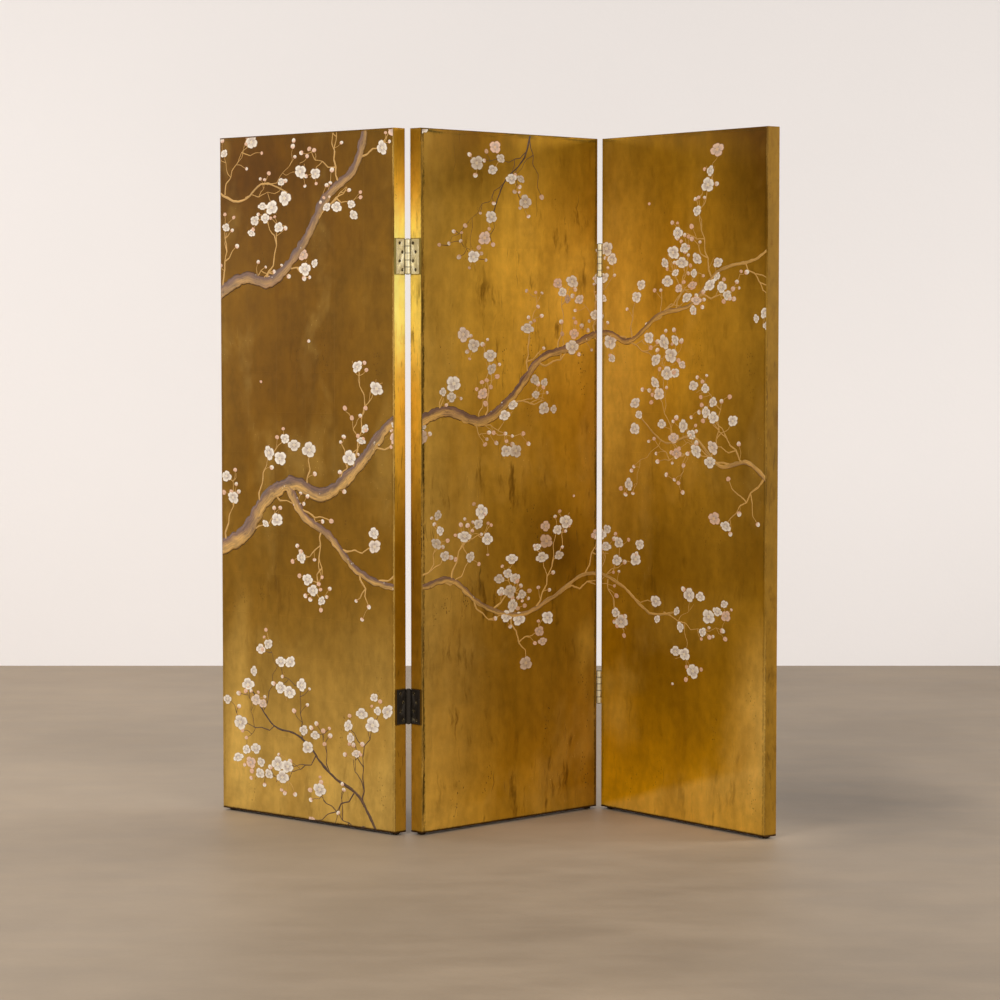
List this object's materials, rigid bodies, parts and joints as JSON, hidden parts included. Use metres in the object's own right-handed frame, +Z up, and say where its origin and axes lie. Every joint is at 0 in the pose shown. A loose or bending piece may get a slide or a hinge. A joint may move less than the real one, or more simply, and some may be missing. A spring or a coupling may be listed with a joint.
{
  "type": "folding screen",
  "caption": "Byobu folding screen: tall gilded panels with a painted blossom branch, joined in a zigzag by brass butt hinges so that neighbours fold flat together.",
  "frame": {"origin": "middle of the footprint of the screen as it stands in its zigzag, on the floor", "axes": "+Z up; the painted faces look towards -Y, the viewer; +X to the viewer's right along the screen"},
  "size_m": [1.476, 0.5378, 1.836],
  "materials": {
    "gilded_face": "thin board with an aged gilded and painted face, satin varnish",
    "gilded_edge": "timber frame with a gilded lip, worn at the corners",
    "lacquered_back": "thin board with a dark brown lacquer",
    "lattice_timber": "bare planed softwood",
    "pale_brass": "dull worn brass",
    "dark_brass": "brass with a dark patina",
    "screw": "oxidised steel",
    "glide": "moulded, matt"
  },
  "bodies": {
    "middle_panel": {"middle_left_stile": "gilded_edge", "middle_right_stile": "gilded_edge", "middle_top_rail": "gilded_edge", "middle_bottom_rail": "gilded_edge", "middle_muntin": "lattice_timber", "middle_cross_bar_1": "lattice_timber", "middle_cross_bar_2": "lattice_timber", "middle_cross_bar_3": "lattice_timber", "middle_cross_bar_4": "lattice_timber", "middle_cross_bar_5": "lattice_timber", "middle_front_skin": "gilded_face", "middle_back_skin": "lacquered_back", "middle_glides": "glide", "left_upper_hinge_middle_leaf": "pale_brass", "left_upper_hinge_pin": "pale_brass", "left_lower_hinge_middle_leaf": "dark_brass", "left_lower_hinge_pin": "dark_brass", "right_upper_hinge_middle_leaf": "pale_brass", "right_upper_hinge_pin": "pale_brass", "right_lower_hinge_middle_leaf": "pale_brass", "right_lower_hinge_pin": "pale_brass", "middle_left_screws": "screw", "middle_right_screws": "screw"},
    "left_panel": {"left_left_stile": "gilded_edge", "left_right_stile": "gilded_edge", "left_top_rail": "gilded_edge", "left_bottom_rail": "gilded_edge", "left_muntin": "lattice_timber", "left_cross_bar_1": "lattice_timber", "left_cross_bar_2": "lattice_timber", "left_cross_bar_3": "lattice_timber", "left_cross_bar_4": "lattice_timber", "left_cross_bar_5": "lattice_timber", "left_front_skin": "gilded_face", "left_back_skin": "lacquered_back", "left_glides": "glide", "left_upper_hinge_left_leaf": "pale_brass", "left_lower_hinge_left_leaf": "dark_brass", "left_panel_screws": "screw"},
    "right_panel": {"right_left_stile": "gilded_edge", "right_right_stile": "gilded_edge", "right_top_rail": "gilded_edge", "right_bottom_rail": "gilded_edge", "right_muntin": "lattice_timber", "right_cross_bar_1": "lattice_timber", "right_cross_bar_2": "lattice_timber", "right_cross_bar_3": "lattice_timber", "right_cross_bar_4": "lattice_timber", "right_cross_bar_5": "lattice_timber", "right_front_skin": "gilded_face", "right_back_skin": "lacquered_back", "right_glides": "glide", "right_upper_hinge_right_leaf": "pale_brass", "right_lower_hinge_right_leaf": "pale_brass", "right_panel_screws": "screw"}
  },
  "joints": [
    {"name": "left_fold", "type": "hinge", "parent": "middle_panel", "child": "left_panel", "pos_m": [-0.21677, -0.18302, 0.336], "axis": [0, 0, 1], "range_deg": [-94.8, 99.2]},
    {"name": "right_fold", "type": "hinge", "parent": "middle_panel", "child": "right_panel", "pos_m": [0.29429, 0.24195, 0.336], "axis": [0, 0, 1], "range_deg": [-84.8, 109.2]}
  ]
}
